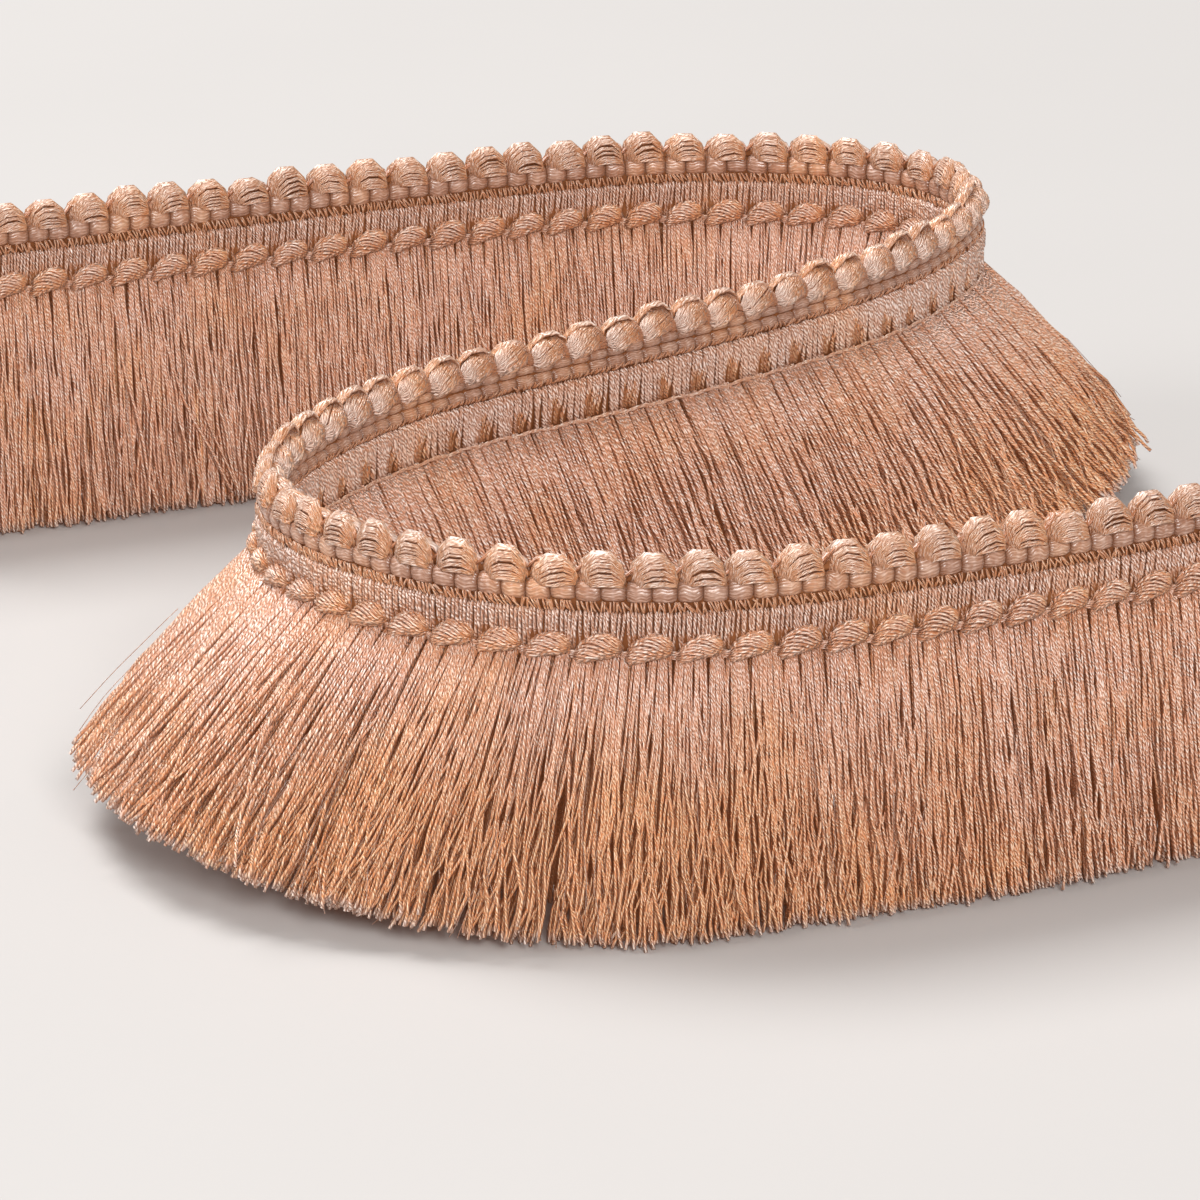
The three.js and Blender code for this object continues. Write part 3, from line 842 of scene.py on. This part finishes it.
def make_band():
    """Packed yarns that loop over the band's crisp top edge and run down to the knots."""
    rng = np.random.default_rng(17)
    count = REPEATS * BAND_YARNS
    s0 = (np.arange(count) + 0.5 + rng.uniform(-0.2, 0.2, count)) * REPEAT / BAND_YARNS
    place = ((s0 / REPEAT % 1 - 0.5) * REPEAT)[:, None]
    lower = smooth((BAND_RUN - 0.3) / 0.7)[None]
    over = np.zeros((count, len(OVER_UP)))
    for side, name, foot, nodes in ((1, "band_front", 54.2, ["yarn_band"]), (-1, "band_back", 53.9, [])):
        top = BAND_TOP - 0.25 + 0.13 * np.sin(4 * np.pi * s0 / REPEAT) + 0.07 * rng.normal(0, 1, count)
        top = top[:, None]
        z = np.hstack([top + OVER_UP, (top - 0.35) + (foot - top + 0.35) * BAND_RUN[None]])
        drawn, sink, shade, warm = front_band(place, lower) if side > 0 else back_band(place, lower, rng)
        drawn, sink, warm = (np.hstack([over, v]) for v in (drawn, sink, warm))
        shade = np.maximum(np.hstack([over + OVER_SHADE, shade]), 0)
        slant = 0.3 * rng.normal(0, 1, (count, 1)) - 0.3
        lean = np.hstack([over, side * slant * BAND_RUN])
        s = s0[:, None] + lean + drawn
        out = np.append(OVER_OUT, np.full(len(BAND_RUN), BAND_SURFACE))[None] - sink
        out = side * (out + 0.1 * rng.normal(0, 1, (count, 1)))
        tone = tones(rng, count, 0.62, 0.2)
        radius = BAND_RADIUS * rng.uniform(0.9, 1.1, (count, 1))
        strands = Strands()
        strands.add(beside(s, out, z), radius, 3, tone, shade, side * outward(s), warm=warm)
        strands.build(name, BAND_YARN, "band_yarn", nodes)


# The knots

def leaves(strands, middle, rng):
    """Each knot is a leaf of strands that starts wide at the lower left, turns as it goes and is drawn
    to a point at the right."""
    count, samples, twist, radius = 17, 8, 2.1, 0.5
    t = np.linspace(0, 1, samples)
    belly = (1 - np.abs(2 * t - 1) ** 2.2) ** 0.6
    size = 1 + 0.06 * rng.normal(0, 1, (REPEATS, 1, 1))
    phi = np.radians(np.linspace(-70, 225, count))[None, :, None]
    phi = phi + twist * (t - 0.45) + 0.03 * rng.normal(0, 1, (REPEATS, count, 1))
    tall = (0.75 - 0.45 * t + 1.75 * belly) * size
    deep = (0.7 - 0.4 * t + 1.45 * belly) * size
    s = middle - 5.0 + 9.2 * t + 0.5 * np.cos(phi) * belly
    out = 2.0 + 0.3 * belly + deep * np.sin(phi)
    z = KNOT_HEIGHT + 1.944 * np.sin(0.85 * np.pi * t) + 0.6 * t + tall * np.cos(phi)
    paths = beside(s, out, z).reshape(-1, samples, 3)
    tone = tones(rng, len(paths), 0.55, 0.2)
    # painted highlight on the leaf's upper belly, painted shade at its ends, painted orange shade towards
    # its point
    lit = bell(phi, 1.1, 0.9) * smooth(np.minimum(t, 1 - t) * 4)
    shade = 0.15 + 0.5 * smooth(np.minimum(t * 5, (1 - t) * 2.6)) + 0.65 * lit
    warm = 0.2 + 0.6 * smooth((t - 0.55) / 0.4)
    aim = np.cos(phi)[..., None] * UP + np.sin(phi)[..., None] * outward(s)
    radius = radius * (0.6 + 0.4 * belly)
    shade, aim = shade.reshape(-1, samples), aim.reshape(-1, samples, 3)
    strands.add(paths, radius, 3, tone, shade, aim, warm=warm)


def bridges(strands, middle, rng):
    """Short strands that cross the point of each leaf."""
    count, samples, radius = 4, 6, 0.3
    t = np.linspace(0, 1, samples)
    row = np.arange(count)[None, :, None]
    s = middle + 3.2 + 2.6 * t
    out = 1.9 + 1.0 * np.sin(np.pi * t) - 0.08 * row
    z = KNOT_HEIGHT + 1.1 - 0.5 * t + 0.35 * np.sin(np.pi * t) - 0.42 * row
    paths = beside(s, out, z).reshape(-1, samples, 3)
    strands.add(paths, radius, 3, tones(rng, len(paths), 0.8, 0.1), 1.1)


def cord_strands(strands):
    """The two strands of the thin cord that runs along the back, a little higher in each repeat."""
    pitch, radius = 5.2, 0.3
    s = np.arange(0.3, LENGTH, 1.1)
    wave = np.abs(np.sin(np.pi * (s / REPEAT + 0.42)))
    for turn in (0.0, np.pi):
        twist = 2 * np.pi * s / pitch + turn
        path = beside(s, -2.75 - 0.15 * np.cos(twist), CORD_HEIGHT + 0.45 * wave + 0.2 * np.sin(twist))
        strands.add(path[None], radius, 5, 0.8, 1.15, warm=0.2)


def make_knots():
    """The row of knots on the front face and the thin cord along the back."""
    rng = np.random.default_rng(19)
    middle = (np.arange(REPEATS)[:, None, None] + 0.5) * REPEAT
    knots, cord = Strands(), Strands()
    leaves(knots, middle, rng)
    bridges(knots, middle, rng)
    knots.build("knots_front", KNOT_YARN, "knot_yarn", ["knot_row"])
    cord_strands(cord)
    cord.build("knot_cord_back", KNOT_YARN, "knot_yarn")


# The stage, the camera and the lights

# Studio lights: name, place, what it is aimed at, side of its square, power, colour
LIGHTS = (
    ("key", (-1.25, 1.6, 3.4), (0, 0, 0.03), 1.8, 160.0, (1.0, 0.99, 0.98)),
    ("left", (-3.2, -1.2, 1.9), (0, 0, 0.04), 1.4, 55.0, (1.0, 0.99, 0.98)),
    ("front", (0.7, -3.4, 2.1), (0, 0, 0.04), 1.4, 119.0, (1.0, 0.985, 0.97)),
)


def make_stage():
    half = 4.0
    mesh = bpy.data.meshes.new("floor")
    corners = [(-half, -half, 0), (half, -half, 0), (half, half, 0), (-half, half, 0)]
    mesh.from_pydata(corners, [], [(0, 1, 2, 3)])
    mesh.materials.append(floor_material())
    floor = bpy.data.objects.new("floor", mesh)
    bpy.context.scene.collection.objects.link(floor)


def make_camera():
    """The photograph's view: a long lens 1.6 m away, looking down by 19 degrees."""
    look_down = 19
    data = bpy.data.cameras.new("camera")
    data.sensor_width = 36.0
    data.lens = 225.0
    data.clip_end = 20.0
    camera = bpy.data.objects.new("camera", data)
    camera.location = (0.00855, -1.50272, 0.5289)
    camera.rotation_euler = (math.radians(90 - look_down), 0, 0)
    bpy.context.scene.collection.objects.link(camera)
    bpy.context.scene.camera = camera


def make_light(name, place, aim, size, power, colour):
    data = bpy.data.lights.new(name, "AREA")
    data.shape = "SQUARE"
    data.size = size
    data.energy = power
    data.color = colour
    light = bpy.data.objects.new(name, data)
    light.location = place
    toward = Vector(aim) - Vector(place)
    light.rotation_euler = toward.to_track_quat("-Z", "Y").to_euler()
    bpy.context.scene.collection.objects.link(light)


def make_world():
    world = bpy.data.worlds.new("studio")
    world.use_nodes = True
    background = world.node_tree.nodes["Background"]
    background.inputs["Color"].default_value = (1.0, 0.985, 0.97, 1.0)
    background.inputs["Strength"].default_value = 0.26
    bpy.context.scene.world = world


make_camera()
make_world()
make_stage()
for light_row in LIGHTS:
    make_light(*light_row)
make_fringe()
make_flyaways()
make_loops()
make_loop_core()
make_braid()
make_band()
make_knots()
bpy.context.scene.view_settings.view_transform = "Standard"
